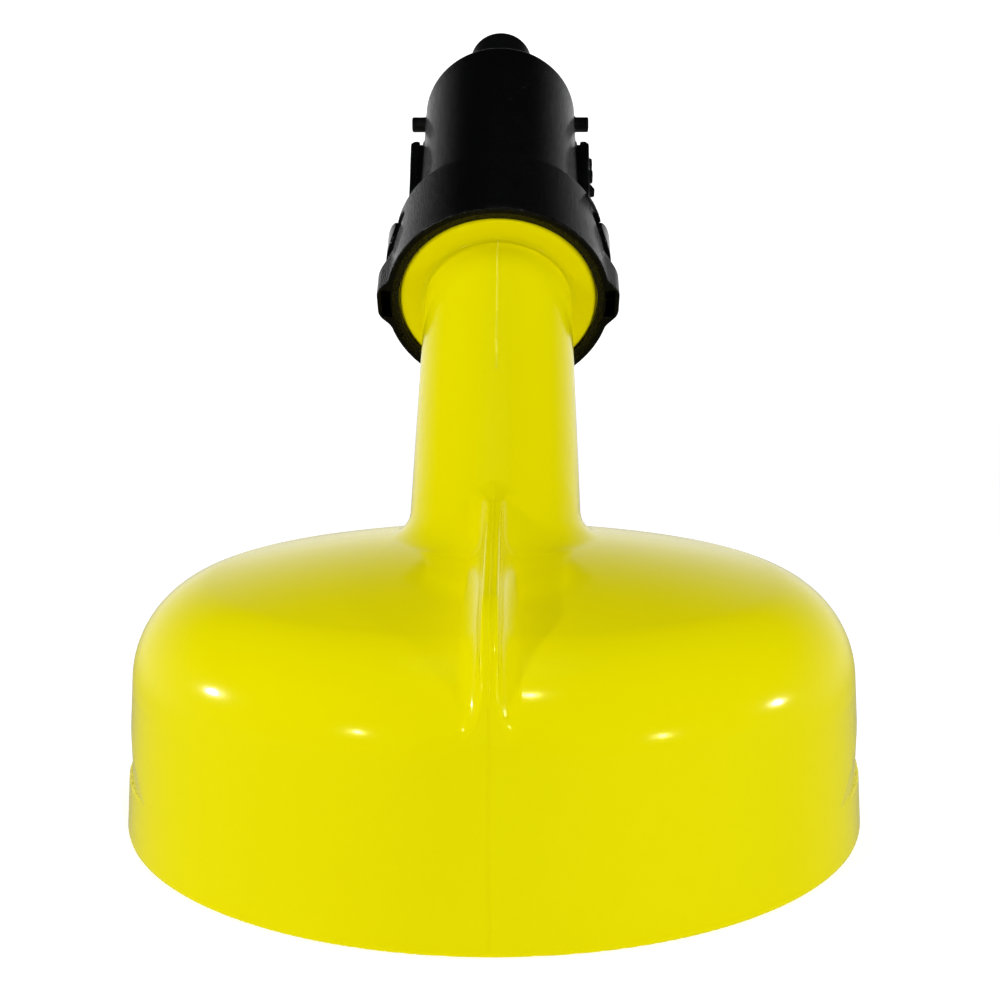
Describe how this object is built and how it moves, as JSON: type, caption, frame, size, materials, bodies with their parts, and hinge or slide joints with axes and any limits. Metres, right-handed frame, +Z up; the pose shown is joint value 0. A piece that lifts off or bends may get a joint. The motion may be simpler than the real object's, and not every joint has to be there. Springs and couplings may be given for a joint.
{
  "type": "pouring lid with twist nozzle",
  "caption": "Wide screw-on pouring lid for a fluid can, with an inclined spout, a gusset rib and a black twist nozzle that opens when its collar is turned.",
  "frame": {"origin": "centre of the lid's open mouth, in the plane of its rim", "axes": "+Z up out of the container, +Y the way the spout leans, +X to the right seen from behind the rib"},
  "size_m": [0.124, 0.2175, 0.1485],
  "materials": {
    "yellow_moulding": "glossy bright yellow polyethylene moulding",
    "black_moulding": "black plastic with a fine satin grain",
    "pad_plastic": "smooth glossy black plastic",
    "gasket_rubber": "black rubber sheet",
    "seal_rubber": "black nitrile O-ring rubber",
    "core_plastic": "light grey acetal plastic",
    "plug_plastic": "black acetal plastic",
    "washer_plastic": "off-white slippery plastic",
    "fittings_steel": "turned stainless steel"
  },
  "bodies": {
    "lid": {"spout_lid": "yellow_moulding", "spout_neck": "yellow_moulding", "lid_gasket": "gasket_rubber", "valve_core": "core_plastic", "core_seal": "seal_rubber", "cam_pins": "fittings_steel", "stem": "fittings_steel", "stem_washer": "fittings_steel", "stem_nut": "fittings_steel", "plug": "plug_plastic", "plug_seal": "seal_rubber", "barrel_seal_lower": "seal_rubber", "barrel_seal_upper": "seal_rubber", "thrust_washer": "washer_plastic"},
    "collar": {"collar": "black_moulding", "retaining_ring": "black_moulding", "thumb_pad_left": "pad_plastic", "thumb_pad_right": "pad_plastic"},
    "barrel": {"barrel": "black_moulding", "nozzle_tip": "black_moulding", "tip_seal": "seal_rubber"}
  },
  "joints": [
    {"name": "collar_twist", "type": "hinge", "parent": "lid", "child": "collar", "pos_m": [0, 0.0139, 0.0421], "axis": [0, 0.807, 0.5906], "range_deg": [0, 90]},
    {"name": "barrel_slide", "type": "slide", "parent": "collar", "child": "barrel", "axis": [0, 0.807, 0.5906], "range_m": [0, 0.006]}
  ],
  "couplings": [
    {"joint": "collar_twist", "follows": "barrel_slide", "rad_per_m": 261.8}
  ]
}
